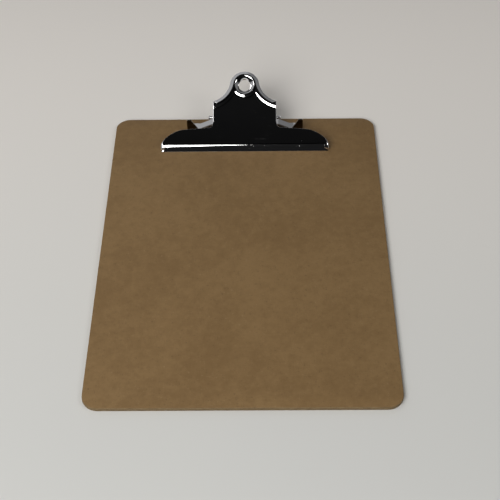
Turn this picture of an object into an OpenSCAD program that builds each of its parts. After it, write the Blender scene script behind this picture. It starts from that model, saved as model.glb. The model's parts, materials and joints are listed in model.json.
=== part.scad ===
// Hardboard clipboard with a spring-loaded lever clip.
// X runs across the board, +Y runs up the board towards the clip, +Z stands out of its front.
// The origin is the centre of the board's back face. All sizes are in millimetres.

/* [Board] */
// Width of the board
board_w = 228.6; // [220:0.1:240]
// Height of the board
board_h = 317.5; // [310:0.1:330]
// Thickness of the hardboard
board_t = 3.2; // [3:0.1:4]
// Radius of the board's corners
corner_r = 12; // [6:0.5:20]

/* [Lever] */
// Thickness of the lever's sheet
lever_t = 1; // [0.8:0.1:1.2]
// Slope of the lever's flat above the board, in degrees
lever_slope = 33.5; // [30:0.5:36]
// Place of the jaw's front edge up the board
jaw_y = 114.2; // [112:0.1:116]
// Outer radius of the rolled jaw
jaw_r = 6.9; // [6:0.1:8]
// Slope of the straight lip below the roll, in degrees
lip_slope = 65; // [60:0.5:75]
// Gap left under the closed jaw, about one sheet of paper
jaw_gap = 0.1; // [0.05:0.05:0.3]
// Half the width of the jaw
jaw_half_w = 73.2; // [70:0.1:76]
// Half the width across the folded neck
neck_half_w = 27.9; // [26:0.1:29]
// Height of the down-turned flange round the handle
flange_h = 2.5; // [2:0.1:3.5]

/* [Hang hole] */
// Distance of the hole's centre up the slope from the jaw's crease
hole_s = 53.1; // [52:0.1:55]
// Radius of the hole
hole_r = 5.2; // [4.5:0.1:5.5]
// Radius of the dished rim round the hole
dish_r = 7.9; // [7.5:0.1:8.5]
// Depth of the dish
dish_depth = 1.2; // [0.8:0.1:1.6]
// Length of the hole's straight wall
hole_wall = 1.4; // [1:0.1:2]
// Radius of the handle's round tip
tip_r = 12.9; // [12.5:0.1:13.5]

/* [Hinge] */
// Place of the hinge pin up the board
pin_y = 145.2; // [144.5:0.1:146]
// Height of the hinge pin above the board's back
pin_z = 16; // [15.5:0.1:16.5]
// Radius of the hinge pin
pin_r = 1.5; // [1.4:0.05:1.6]
// Half the length of the hinge pin
pin_half_l = 31.6; // [30.5:0.1:33]
// Radial clearance of the pin in the four ears
pin_fit = 0.05; // [0.03:0.01:0.1]

/* [Base plate] */
// Thickness of the base plate's sheet
base_t = 1.2; // [1:0.1:1.4]
// Half the length of the base plate
base_half_l = 51; // [50:0.1:52]
// Half the length of the raised bridge between the sloping wings
bridge_half_l = 29.3; // [28.8:0.1:30]
// Height of the bridge's top above the board's back
bridge_z = 10.6; // [10:0.1:10.8]
// Distance from the middle to where each foot starts
foot_x = 42.5; // [41:0.1:43.5]
// Place of the paper stops' front faces up the board
stop_y = 141.3; // [140.5:0.1:142]
// Height of the paper stops' tops above the board's back
stop_top_z = 16.3; // [14:0.1:16.5]

/* [Springs] */
// Diameter of the spring wire
wire_d = 2; // [1.6:0.1:2.2]
// Mean radius of the spring coil
coil_r = 3.4; // [3.2:0.1:3.5]
// Distance between neighbouring turns
coil_pitch = 2.12; // [2.05:0.01:2.3]

/* [Rivets] */
// Distance of each rivet from the middle
rivet_x = 46.9; // [46:0.1:47.5]
// Place of the rivets up the board
rivet_y = 147.2; // [146.5:0.1:148]
// Radius of the rivet's shank
rivet_r = 2; // [1.8:0.1:2.2]
// Radius of the rivet's flat head, sunk in the board's back
rivet_head_r = 4; // [3.5:0.1:4.2]

/* [Hidden] */
$fn = 96;
eps = 0.01;
right = 1;
left = -1;

// Jaw, from its lip's front edge up: end of the roll's arc, centre of the roll, and the crease
// where the roll meets the lever's flat
lip_l = 3.46;
jaw_z = board_t + jaw_gap;
roll_end = [jaw_y, jaw_z] + lip_l * [cos(lip_slope), sin(lip_slope)];
roll_c = roll_end - jaw_r * [-sin(lip_slope), cos(lip_slope)];
crease_y = roll_c[0] - jaw_r * sin(lever_slope);
crease_z = roll_c[1] + jaw_r * cos(lever_slope);

// The hinge pin seen from the lever: up the slope, and out of its surface (negative is below)
pin_s = (pin_y - crease_y) * cos(lever_slope) + (pin_z - crease_z) * sin(lever_slope);
pin_n = (pin_z - crease_z) * cos(lever_slope) - (pin_y - crease_y) * sin(lever_slope);

// Outline of the lever in its own plane, as x across and s up the slope
flank_c = [33.55, hole_s + sqrt(pow(tip_r + 21.2, 2) - pow(33.55, 2))];
flank_r = 21.2;
neck_top_s = 38.8;
neck_taper = 0.5;
neck_taper_s = 34;
neck_fillet_r = 3.8;
neck_fillet_c = [neck_half_w - neck_taper + neck_fillet_r, 18.4];
neck_fillet_end = 265;
wing_top = [54, 12.7];
wing_pull = [[8, -0.8], [0, 3.4]];
wing_step = 0.4;
arc_steps = 16;

// Lever ears
ear_gap = 0.3;
lever_ear_r = 4.2;
lever_ear_foot = 18.5;
lever_ear_head = 36.5;

// Base plate: ears, windows they are cut from, and the plan outline
base_ear_r = 3.6;
base_ear_x = neck_half_w - lever_t - ear_gap - base_t;
base_ear_spread = 3.6;
window_w = 9;
strip_depth = 36;
foot_back_y = 151.5;
wing_back_y = 149.5;
foot_step = 4;
bridge_front_y = 138;
bridge_back_y = 155;
bridge_flare_x = 24.5;
fold_shift = base_t / 4;
wing_fall = (bridge_z - board_t - base_t) / (foot_x - bridge_half_l);
stop_foot_x = 40.7;
stop_foot_z = board_t + base_t / 2 + (foot_x - stop_foot_x) * wing_fall;
stop_top_x = 46.6;
stop_round = 1.2;
stop_outer_x = 50.7;

// Springs
coil_turns = 7;
coil_outer_x = base_ear_x - wire_d / 2 - 0.5;
lever_leg_rise = 15;
lever_leg_a = lever_slope + lever_leg_rise;
lever_leg_clear = 0.2;
base_leg_l = 8.5;
base_leg_bend = 1.2;
base_leg_sag = 0.1;
base_leg_clear = 0.05;
base_leg_drop = pin_z - coil_r - bridge_z - wire_d / 2 - base_leg_clear;
wire_sides = 10;
turn_steps = 20;

// Rivets and their seats in the board
rivet_fit = 0.05;
rivet_head_t = 0.8;
rivet_head_z = 0.1;
rivet_seat_r = rivet_head_r + 0.1;
rivet_curl_r = 3;
rivet_curl_h = 1;
pin_head_r = 1.95;
pin_head_l = 1;

// Points along an arc of radius r about c, from angle a0 to a1
function arc(c, r, a0, a1, n = arc_steps) =
    [for (i = [0:n]) let (a = a0 + (a1 - a0) * i / n) c + r * [cos(a), sin(a)]];

// The point where a line from p touches the circle of radius r about c, on the side given
function touch(p, c, r, side) =
    let (d = p - c, a = atan2(d[1], d[0]) + side * acos(r / norm(d))) c + r * [cos(a), sin(a)];

// Points of a right half, from the middle outwards, joined by their mirror images
function both_halves(points) =
    concat(points, [for (i = [len(points) - 1:-1:0]) if (points[i][0] > eps)
        [-points[i][0], points[i][1]]]);

// Right half of the handle's edge from its tip to its shoulder, drawn in by the inset
function handle_edge(inset) =
    let (join_a = atan2(flank_c[1] - hole_s, flank_c[0]),
         reach = (flank_c[0] - neck_half_w + inset) / (flank_r + inset))
    concat(arc([0, hole_s], tip_r - inset, 90, join_a),
           arc(flank_c, flank_r + inset, 180 + join_a, 180 + acos(reach)));

// Points along the cubic curve from a to d that leaves towards b and arrives from c
function curve(a, b, c, d, n = arc_steps) =
    [for (i = [0:n]) let (t = i / n, u = 1 - t)
        u * u * u * a + 3 * u * u * t * b + 3 * u * t * t * c + t * t * t * d];

// Right half of the neck's and the wing's edge, from the shoulder to the crease
function wing_edge() =
    let (wing_side = [jaw_half_w - wing_step, 0])
    concat([[neck_half_w, neck_taper_s]],
           arc(neck_fillet_c, neck_fillet_r, 180, neck_fillet_end, 8),
           curve(wing_top, wing_top + wing_pull[0], wing_side + wing_pull[1], wing_side));

// Lays a shape drawn in y and z across the board, with its middle at x = 0
module across(width) {
    rotate([90, 0, 90]) linear_extrude(width, center = true) children();
}

// Places a shape drawn in the lever's own plane: x across, y up the slope, z out of it
module on_lever() {
    translate([0, crease_y, crease_z]) rotate([lever_slope, 0, 0]) children();
}

module both_sides() {
    children();
    mirror([1, 0, 0]) children();
}

// An ear's side view: a round end about c that widens to a foot between two points
module ear_profile(c, r, foot_a, foot_b) {
    translate(c) circle(r);
    polygon([foot_a, touch(foot_a, c, r, -1), c, touch(foot_b, c, r, 1), foot_b]);
}

module board_outline() {
    inner_w = board_w - 2 * corner_r;
    inner_h = board_h - 2 * corner_r;
    square([board_w, inner_h], center = true);
    square([inner_w, board_h], center = true);
    for (x = [left, right], y = [-1, 1]) translate([x * inner_w, y * inner_h] / 2) circle(corner_r);
}

// Hardboard panel with two drilled rivet holes, each sunk from behind for the rivet's head
module board() {
    color([0.45, 0.35, 0.23]) difference() {
        linear_extrude(board_t) board_outline();
        both_sides() translate([rivet_x, rivet_y, 0]) {
            translate([0, 0, -eps]) cylinder(h = board_t + 2 * eps, r = rivet_r + rivet_fit);
            translate([0, 0, -eps]) cylinder(h = rivet_head_z + rivet_head_t + eps, r = rivet_seat_r);
        }
    }
}

// Front view of the bent strip: feet on the board, sloping wings and a raised bridge
module base_section() {
    top = [[bridge_half_l, bridge_z], [foot_x, board_t + base_t], [base_half_l, board_t + base_t]];
    bottom = [[base_half_l, board_t], [foot_x - fold_shift, board_t],
              [bridge_half_l - fold_shift, bridge_z - base_t]];
    polygon(both_halves(concat(top, bottom)));
}

// Plan of the strip, which is deeper in the middle than at its feet
module base_plan() {
    front = [[bridge_flare_x, bridge_front_y], [bridge_half_l, stop_y], [base_half_l, stop_y]];
    back = [[base_half_l, foot_back_y], [foot_x, foot_back_y], [foot_x - foot_step, wing_back_y],
            [bridge_half_l, wing_back_y], [bridge_flare_x, bridge_back_y]];
    polygon(both_halves(concat(front, back)));
}

module base_ears() {
    foot_z = bridge_z - base_t / 2;
    both_sides() translate([base_ear_x + base_t / 2, 0, 0]) across(base_t) difference() {
        ear_profile([pin_y, pin_z], base_ear_r, [pin_y - base_ear_spread, foot_z],
                    [pin_y + base_ear_spread, foot_z]);
        translate([pin_y, pin_z]) circle(pin_r + pin_fit);
    }
}

// Paper stops: upright tabs on the front edge of the feet
module paper_stops() {
    both_sides() translate([0, stop_y + base_t, 0]) rotate([90, 0, 0]) linear_extrude(base_t) {
        polygon([[foot_x, board_t], [stop_foot_x, stop_foot_z], [stop_top_x, stop_top_z - stop_round],
                 [stop_outer_x, stop_top_z - stop_round], [stop_outer_x, board_t]]);
        translate([stop_top_x + stop_round, stop_top_z - stop_round]) circle(stop_round);
        translate([stop_outer_x - stop_round, stop_top_z - stop_round]) circle(stop_round);
        translate([stop_top_x + stop_round, stop_top_z - stop_round])
            square([stop_outer_x - stop_top_x - 2 * stop_round, stop_round]);
    }
}

// Stamped plate: riveted feet, sloping wings, a raised bridge and ears lanced out of it
module base_plate() {
    color([0.75, 0.75, 0.77]) difference() {
        union() {
            intersection() {
                translate([0, pin_y, 0]) rotate([90, 0, 0])
                    linear_extrude(strip_depth, center = true) base_section();
                linear_extrude(pin_z) base_plan();
            }
            base_ears();
            paper_stops();
        }
        both_sides() {
            translate([base_ear_x - window_w, pin_y - base_ear_spread, bridge_z - 2 * base_t])
                cube([window_w, 2 * base_ear_spread, 3 * base_t]);
            translate([rivet_x, rivet_y, board_t - eps])
                cylinder(h = base_t + 2 * eps, r = rivet_r + rivet_fit);
        }
    }
}

module lever_outline() {
    polygon(both_halves(concat(handle_edge(0), wing_edge())));
}

// Down-turned edge round the handle, from shoulder to shoulder
module handle_flange() {
    translate([0, 0, -flange_h]) linear_extrude(flange_h) difference() {
        polygon(both_halves(handle_edge(0)));
        polygon(both_halves(handle_edge(lever_t)));
        translate([-neck_half_w - eps, 0])
            square([2 * (neck_half_w + eps), neck_top_s + lever_t / 2]);
    }
}

// Dished rim and straight wall round the hang hole
module hang_rim() {
    bottom = -dish_depth - hole_wall;
    translate([0, hole_s, 0]) rotate_extrude()
        polygon([[dish_r, 0], [hole_r, -dish_depth], [hole_r, bottom], [hole_r + lever_t, bottom],
                 [hole_r + lever_t, -dish_depth - lever_t / 2], [dish_r + lever_t / 2, -lever_t],
                 [dish_r + lever_t / 2, 0]]);
}

// Rolled jaw: an arc from the crease round to a straight lip, cut level at the board
module jaw_section() {
    reach = 2 * jaw_r;
    foot_w = lever_t / sin(lip_slope);
    translate(roll_c) intersection() {
        difference() {
            circle(jaw_r);
            circle(jaw_r - lever_t);
        }
        polygon([[0, 0], reach * [-sin(lever_slope), cos(lever_slope)],
                 reach * [-sin(lip_slope), cos(lip_slope)]]);
    }
    polygon([roll_end, [jaw_y, jaw_z], [jaw_y + foot_w, jaw_z],
             roll_end - lever_t * [-sin(lip_slope), cos(lip_slope)]]);
}

module lever_ears() {
    both_sides() translate([neck_half_w - lever_t / 2, 0, 0]) across(lever_t) difference() {
        ear_profile([pin_s, pin_n], lever_ear_r, [lever_ear_head, -lever_t / 2],
                    [lever_ear_foot, -lever_t / 2]);
        translate([pin_s, pin_n]) circle(pin_r + pin_fit);
    }
}

// One stamped piece: jaw, wings, neck with folded ears, and handle with its hang hole
module clip_lever() {
    color([0.82, 0.82, 0.84]) union() {
        across(2 * jaw_half_w) jaw_section();
        on_lever() {
            difference() {
                translate([0, 0, -lever_t]) linear_extrude(lever_t) lever_outline();
                translate([0, hole_s, -lever_t - eps]) cylinder(h = lever_t + 2 * eps, r = dish_r);
            }
            hang_rim();
            handle_flange();
            lever_ears();
        }
    }
}

// Plain rod with both ends spread a little so that it can't slide out
module hinge_pin() {
    color([0.6, 0.6, 0.62]) translate([0, pin_y, pin_z]) rotate([0, 90, 0]) {
        cylinder(h = 2 * pin_half_l, r = pin_r, center = true);
        for (end = [-pin_half_l, pin_half_l - pin_head_l]) translate([0, 0, end])
            cylinder(h = pin_head_l, r = pin_head_r);
    }
}

// The wire's path: base leg, coil wound towards the middle, lever leg up to the handle.
// Angles turn in the y-z plane, from +Y towards +Z.
coil_end_a = lever_leg_a + 90;
coil_sweep = 360 * coil_turns + 270 - coil_end_a;
coil_steps = round(coil_sweep / 360 * turn_steps);
lever_leg_reach = -pin_n - lever_t - wire_d / 2 - lever_leg_clear;
lever_leg_l = (lever_leg_reach - coil_r * cos(lever_leg_rise)) / sin(lever_leg_rise);
function coil_point(i) =
    let (a = -90 - coil_sweep * i / coil_steps)
    [coil_outer_x - coil_pitch * coil_sweep / 360 * i / coil_steps,
     pin_y + coil_r * cos(a), pin_z + coil_r * sin(a)];
spring_path = concat(
    [[coil_outer_x, pin_y + base_leg_l, pin_z - coil_r - base_leg_drop],
     [coil_outer_x, pin_y + base_leg_bend, pin_z - coil_r - base_leg_sag]],
    [for (i = [0:coil_steps]) coil_point(i)],
    [coil_point(coil_steps) + [0, cos(lever_leg_a), sin(lever_leg_a)] * lever_leg_l]);

// One ring of the wire's surface about point i of the path. Every ring keeps the X axis in
// its plane, which the path never runs along.
function wire_ring(path, i) =
    let (n = len(path),
         run = path[min(i + 1, n - 1)] - path[max(i - 1, 0)],
         along = run / norm(run),
         side = cross(along, [1, 0, 0]) / norm(cross(along, [1, 0, 0])),
         up = cross(side, along))
    [for (k = [0:wire_sides - 1]) let (a = 360 * k / wire_sides)
        path[i] + wire_d / 2 * (cos(a) * up + sin(a) * side)];

module wire(path) {
    last = (len(path) - 1) * wire_sides;
    rings = [for (i = [0:len(path) - 1]) each wire_ring(path, i)];
    sides = [for (i = [0:len(path) - 2], k = [0:wire_sides - 1])
        let (a = i * wire_sides, next = (k + 1) % wire_sides)
        [a + k, a + next, a + wire_sides + next, a + wire_sides + k]];
    ends = [[for (k = [wire_sides - 1:-1:0]) k], [for (k = [0:wire_sides - 1]) last + k]];
    polyhedron(rings, concat(sides, ends), convexity = 10);
}

module spring_right() {
    color([0.35, 0.35, 0.37]) wire(spring_path);
}

module spring_left() {
    color([0.35, 0.35, 0.37]) mirror([1, 0, 0]) wire(spring_path);
}

// Rivet: flat head in the board's back, shank, and a curled end on the base plate's foot
module rivet(side) {
    foot_z = board_t + base_t;
    color([0.8, 0.8, 0.82]) translate([side * rivet_x, rivet_y, 0]) {
        translate([0, 0, rivet_head_z]) cylinder(h = rivet_head_t, r = rivet_head_r);
        translate([0, 0, rivet_head_z]) cylinder(h = foot_z - rivet_head_z, r = rivet_r);
        translate([0, 0, foot_z]) rotate_extrude() intersection() {
            translate([0, rivet_curl_h / 2]) union() {
                translate([rivet_curl_r - rivet_curl_h / 2, 0]) circle(rivet_curl_h / 2);
                square([2 * rivet_curl_r - rivet_curl_h, rivet_curl_h], center = true);
            }
            square(rivet_curl_r);
        }
    }
}

module rivet_left() { rivet(left); }

module rivet_right() { rivet(right); }

board();
base_plate();
clip_lever();
hinge_pin();
spring_left();
spring_right();
rivet_left();
rivet_right();
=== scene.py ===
"""A letter-size hardboard clipboard with a sprung chrome lever clip, built around its CAD frame."""

import json
import math

import bmesh
import bpy
from bpy.props import FloatProperty, FloatVectorProperty, PointerProperty
from mathutils import Matrix, Vector


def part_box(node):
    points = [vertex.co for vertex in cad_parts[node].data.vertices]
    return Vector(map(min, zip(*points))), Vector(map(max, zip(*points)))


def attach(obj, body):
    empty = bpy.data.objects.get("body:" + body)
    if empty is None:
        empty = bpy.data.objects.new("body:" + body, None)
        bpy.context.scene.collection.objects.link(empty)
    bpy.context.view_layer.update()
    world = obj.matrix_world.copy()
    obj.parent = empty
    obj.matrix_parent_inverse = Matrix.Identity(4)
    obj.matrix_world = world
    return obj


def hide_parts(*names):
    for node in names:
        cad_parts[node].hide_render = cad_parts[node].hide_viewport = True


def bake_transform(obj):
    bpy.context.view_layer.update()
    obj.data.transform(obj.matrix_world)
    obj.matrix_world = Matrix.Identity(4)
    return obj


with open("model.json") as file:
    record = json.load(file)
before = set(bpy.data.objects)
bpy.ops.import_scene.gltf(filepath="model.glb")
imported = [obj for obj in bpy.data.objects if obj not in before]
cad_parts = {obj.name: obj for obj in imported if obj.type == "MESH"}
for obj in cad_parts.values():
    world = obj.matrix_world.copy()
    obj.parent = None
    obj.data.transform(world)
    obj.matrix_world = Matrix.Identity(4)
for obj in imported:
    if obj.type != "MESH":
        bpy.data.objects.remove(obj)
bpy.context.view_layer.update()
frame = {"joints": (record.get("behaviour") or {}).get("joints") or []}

bl_info = {
    "name": "Hardboard clipboard",
    "version": (1, 0, 0),
    "blender": (4, 5, 0),
    "location": "View3D > Sidebar > Clipboard",
    "description": "Builds a hardboard clipboard with a chrome lever clip, piece by piece",
    "category": "Object",
}

BOARD_BODY = "board_body"
LEVER_BODY = "lever_body"
HINGE = next(j for j in frame["joints"] if j["name"] == "clip_hinge")
PIN = Vector(HINGE["pos_m"])
MERGE = 2e-6


def length(name, description, default):
    return FloatProperty(name=name, description=description, default=default, unit="LENGTH",
                         subtype="DISTANCE", precision=5)


def angle(name, description, degrees):
    return FloatProperty(name=name, description=description, default=math.radians(degrees),
                         unit="ROTATION", subtype="ANGLE")


def colour(name, description, default):
    return FloatVectorProperty(name=name, description=description, default=default,
                               subtype="COLOR", size=3, min=0.0, max=1.0)


# Sizes and colours


class BoardSizes(bpy.types.PropertyGroup):
    """Sizes of the hardboard panel. Its outer size comes from the frame."""

    corner: length("Corner radius", "Radius of the panel's corners", 0.012)
    edge: length("Edge rounding", "Rounding of the sawn edge", 0.0004)
    seat: length("Rivet seat", "Radius of the seat sunk for each rivet's head", 0.0041)
    seat_depth: length("Rivet seat depth", "Depth of that seat", 0.0009)


class LeverSizes(bpy.types.PropertyGroup):
    """Sizes of the stamped lever, in its own plane: across it, and up its slope from the crease."""

    sheet: length("Sheet", "Thickness of the lever's sheet", 0.001)
    slope: angle("Slope", "Slope of the lever's flat above the board", 33.5)
    jaw_radius: length("Jaw roll", "Outer radius of the rolled jaw", 0.0069)
    lip: length("Jaw lip", "Length of the straight lip below the roll", 0.00346)
    lip_slope: angle("Lip slope", "Slope of that lip", 65)
    jaw_gap: length("Jaw gap", "Gap left under the closed jaw", 0.0001)
    hole_place: length("Hang hole place", "From the crease to the hole's centre", 0.0531)
    hole: length("Hang hole", "Radius of the hang hole", 0.0052)
    rim: length("Hole ridge", "Radius of the ridge round the hole", 0.0086)
    tip: length("Tip", "Radius of the handle's round tip", 0.0129)
    flank: length("Flank", "Radius of the handle's hollow flanks", 0.0212)
    flank_across: length("Flank centre", "From the middle to the hollow flank's centre", 0.03355)
    neck: length("Neck", "Half the width across the folded neck", 0.0279)
    shoulder: length("Shoulder", "Radius of the neck's upper corners", 0.0012)
    neck_foot: length("Neck foot", "Up the slope to where the neck flares", 0.0176)
    fillet: length("Fillet", "Radius between neck and wing", 0.003)
    wing_across: length("Wing across", "Where the wing starts to turn down, across", 0.054)
    wing_up: length("Wing up", "Where the wing starts to turn down, up the slope", 0.0127)
    jaw: length("Jaw", "Half the width of the jaw", 0.0732)
    jaw_corner: length("Jaw corner", "Radius of the jaw's corners", 0.0022)
    ridge: length("Ridge", "Height of the pressed ridge above the flat", 0.0007)
    flange: length("Flange", "Depth of the down-turned edge of the handle", 0.0025)
    ear: length("Ear", "Radius of the ears' round ends", 0.0042)


class HingeSizes(bpy.types.PropertyGroup):
    """Sizes of the pin and of the two springs wound round it."""

    pin: length("Pin", "Radius of the hinge pin", 0.0015)
    pin_half: length("Pin length", "Half the length of the hinge pin", 0.0316)
    pin_head: length("Pin head", "Radius of the pin's spread ends", 0.00195)
    pin_head_length: length("Pin head length", "Length of the pin's spread ends", 0.001)
    fit: length("Fit", "Clearance of the pin in its ears", 0.00005)
    wire: length("Wire", "Radius of the spring wire", 0.001)
    coil: length("Coil", "Mean radius of the spring coil", 0.0034)
    pitch: length("Pitch", "Distance between neighbouring turns", 0.00212)
    coil_across: length("Coil place", "From the middle to the coil's outer end", 0.0239)
    leg_rise: angle("Leg rise", "Angle of the long leg to the lever's flat", 15)
    leg_clear: length("Leg clearance", "Gap between the long leg's end and the lever", 0.0002)


class BaseSizes(bpy.types.PropertyGroup):
    """Sizes of the stamped base plate and its rivets."""

    sheet: length("Sheet", "Thickness of the base plate's sheet", 0.0012)
    bend: length("Bend", "Outer radius of the sheet's square bends", 0.0018)
    half: length("Length", "Half the length of the base plate", 0.05085)
    bridge: length("Bridge", "Height of the bridge's top above the board's back", 0.0106)
    bridge_half: length("Bridge length", "Half the length of the level bridge", 0.0293)
    bridge_front: length("Bridge front", "Place of the bridge's front edge", 0.138)
    bridge_back: length("Bridge back", "Place of the bridge's back edge", 0.155)
    flare: length("Flare", "From the middle to where the bridge starts to narrow", 0.0245)
    wing_back: length("Wing back", "Place of the sloping wings' back edge", 0.1495)
    foot: length("Foot", "From the middle to where each foot starts", 0.0425)
    foot_back: length("Foot back", "Place of the feet's back edge", 0.1515)
    stop: length("Paper stops", "Place of the paper stops' front faces", 0.1413)
    stop_top: length("Paper stop height", "Height of the paper stops' tops", 0.0163)
    stop_round: length("Paper stop corners", "Radius of the paper stops' corners", 0.0012)
    stop_across: length("Paper stop", "From the middle to the stops' inner top corner", 0.0466)
    ear: length("Ear", "Radius of the ears' round tops, half their width", 0.0036)
    ear_across: length("Ear place", "From the middle to the ears' inner faces", 0.0254)
    window: length("Window", "Width of the window that each ear is cut from", 0.009)
    rivet_across: length("Rivet across", "From the middle to each rivet", 0.0469)
    rivet_up: length("Rivet up", "Place of the rivets up the board", 0.1472)
    rivet: length("Rivet shank", "Radius of the rivet's shank", 0.002)
    rivet_head: length("Rivet head", "Radius of the rivet's head in the back", 0.004)
    rivet_curl: length("Rivet curl", "Radius of the rivet's curled end", 0.003)
    rivet_fit: length("Rivet fit", "Clearance of the rivet in its holes", 0.00005)


class FinishColours(bpy.types.PropertyGroup):
    """Colours of the finishes."""

    board_light: colour("Board light", "Lighter brown of the hardboard", (0.246, 0.152, 0.063))
    board_dark: colour("Board dark", "Darker brown of the hardboard", (0.2, 0.119, 0.046))
    board_edge: colour("Board edge", "Sawn edge of the hardboard", (0.235, 0.17, 0.092))
    chrome: colour("Chrome", "Bright chrome plate", (0.80, 0.80, 0.82))
    spring: colour("Spring wire", "Dull plated spring wire", (0.36, 0.36, 0.38))
    rivet: colour("Rivet", "Plated rivet", (0.70, 0.70, 0.70))
    floor: colour("Floor", "Pale floor, at its near side", (0.70, 0.705, 0.69))
    # Painted light: this far-side colour is paler to stand in for brighter light there
    far_floor_painted_light: colour("Far floor", "Pale floor, at its far side", (0.93, 0.895, 0.86))


class StageSizes(bpy.types.PropertyGroup):
    """The camera's place and turn, and the strength of the lights."""

    camera: FloatVectorProperty(name="Camera", description="Place of the camera", size=3,
                                default=(0.01479, -0.63461, 0.65458), subtype="TRANSLATION",
                                unit="LENGTH")
    lens: FloatProperty(name="Lens", description="Focal length in millimetres", default=82.0)
    pitch: angle("Pitch", "Camera's angle up from looking straight down", 44.05)
    heading: angle("Heading", "Camera's turn to the left", 0.9)
    roll: angle("Roll", "Camera's roll", -1.0)
    key: FloatProperty(name="Key light", description="Power of the key lamp", default=22.0,
                       unit="POWER")
    side: FloatProperty(name="Side light", description="Power of the lamp at the left",
                        default=3.0, unit="POWER")
    fill: FloatProperty(name="Fill light", description="Power of the lamp at the right",
                        default=4.0, unit="POWER")
    walls: FloatProperty(name="Walls", description="Strength of the pale walls", default=0.36)


# Shader maths


class Signal:
    """A socket's value. Arithmetic on it adds Math nodes, so a pattern reads as an expression."""

    def __init__(self, finish, socket):
        self.finish = finish
        self.socket = socket

    def maths(self, operation, *values):
        return self.finish.add("ShaderNodeMath", dict(enumerate(values)), operation=operation)

    def __add__(self, other):
        return self.maths("ADD", self, other)

    def __radd__(self, other):
        return self.maths("ADD", other, self)

    def __sub__(self, other):
        return self.maths("SUBTRACT", self, other)

    def __rsub__(self, other):
        return self.maths("SUBTRACT", other, self)

    def __mul__(self, other):
        return self.maths("MULTIPLY", self, other)

    def __rmul__(self, other):
        return self.maths("MULTIPLY", other, self)

    def __pow__(self, other):
        return self.maths("POWER", self, other)

    def above(self, low, high):
        """0 below low, 1 above high, and smooth between them."""
        return self.finish.add("ShaderNodeMapRange", {0: self, 1: low, 2: high, 3: 0.0, 4: 1.0},
                               interpolation_type="SMOOTHSTEP")

    def below(self, low, high):
        return 1 - self.above(low, high)


class Finish:
    """A material in the making: its node tree, its shader and the ways to add to them."""

    def __init__(self, name, tree=None):
        if tree is None:
            self.material = bpy.data.materials.new(name)
            self.material.use_nodes = True
            tree = self.material.node_tree
        self.tree = tree
        tree.nodes.clear()

    @staticmethod
    def own(name):
        """One of the scene's own colours."""
        return tuple(getattr(bpy.context.scene.clipboard_colours, name))

    def add(self, kind, sockets=None, out=0, **settings):
        """Adds a node of that kind, sets it up, then fills or links its sockets."""
        node = self.tree.nodes.new(kind)
        for name, value in settings.items():
            if name == "stops":
                self.set_stops(node.color_ramp, value)
            else:
                setattr(node, name, value)
        for key, value in (sockets or {}).items():
            if isinstance(value, Signal):
                self.tree.links.new(value.socket, node.inputs[key])
            else:
                node.inputs[key].default_value = value
        return None if out is None else Signal(self, node.outputs[out])

    @staticmethod
    def set_stops(ramp, stops):
        while len(ramp.elements) < len(stops):
            ramp.elements.new(1.0)
        for element, (place, shade) in zip(ramp.elements, stops):
            element.position = place
            element.color = shade

    def split(self, vector):
        """The three parts of a vector."""
        parts = self.add("ShaderNodeSeparateXYZ", {0: vector}).socket.node
        return [Signal(self, part) for part in parts.outputs]

    def place(self, scale=(1, 1, 1), turn=(0, 0, 0)):
        """Object coordinates in metres, stretched and turned for a pattern."""
        own = self.add("ShaderNodeTexCoord", out="Object")
        return self.add("ShaderNodeMapping", {"Vector": own, "Scale": scale, "Rotation": turn})

    def noise(self, size, detail=3.0, rough=0.55, where=None):
        """Cloudy noise with lumps about that size in metres, from 0 to 1."""
        return self.add("ShaderNodeTexNoise", {"Vector": where or self.place(),
                        "Scale": 1 / size, "Detail": detail, "Roughness": rough}, out="Fac")

    def specks(self, size, where=None):
        """Distance to the nearest of many scattered points, in cells of that size."""
        return self.add("ShaderNodeTexVoronoi", {"Vector": where or self.place(),
                        "Scale": 1 / size}, out="Distance")

    def blend(self, share, first, second):
        """The first colour at share 0, the second at share 1."""
        def shade(value):
            return value if isinstance(value, Signal) else (*value, 1.0)
        return self.add("ShaderNodeMix", {0: share, 6: shade(first), 7: shade(second)}, out=2,
                        data_type="RGBA")

    def bump(self, height, depth, strength=1.0, under=None):
        sockets = {"Height": height, "Distance": depth, "Strength": strength}
        if under:
            sockets["Normal"] = under
        return self.add("ShaderNodeBump", sockets)

    def finish(self, **sockets):
        """Closes the tree with a Principled shader whose sockets are named with underscores."""
        named = {key.replace("_", " "): value for key, value in sockets.items()}
        shader = self.add("ShaderNodeBsdfPrincipled", {
            key: (*value, 1.0) if isinstance(value, tuple) and len(value) == 3 else value
            for key, value in named.items()}, out="BSDF")
        self.add("ShaderNodeOutputMaterial", {"Surface": shader}, out=None)
        return self.material


# Finishes


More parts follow.
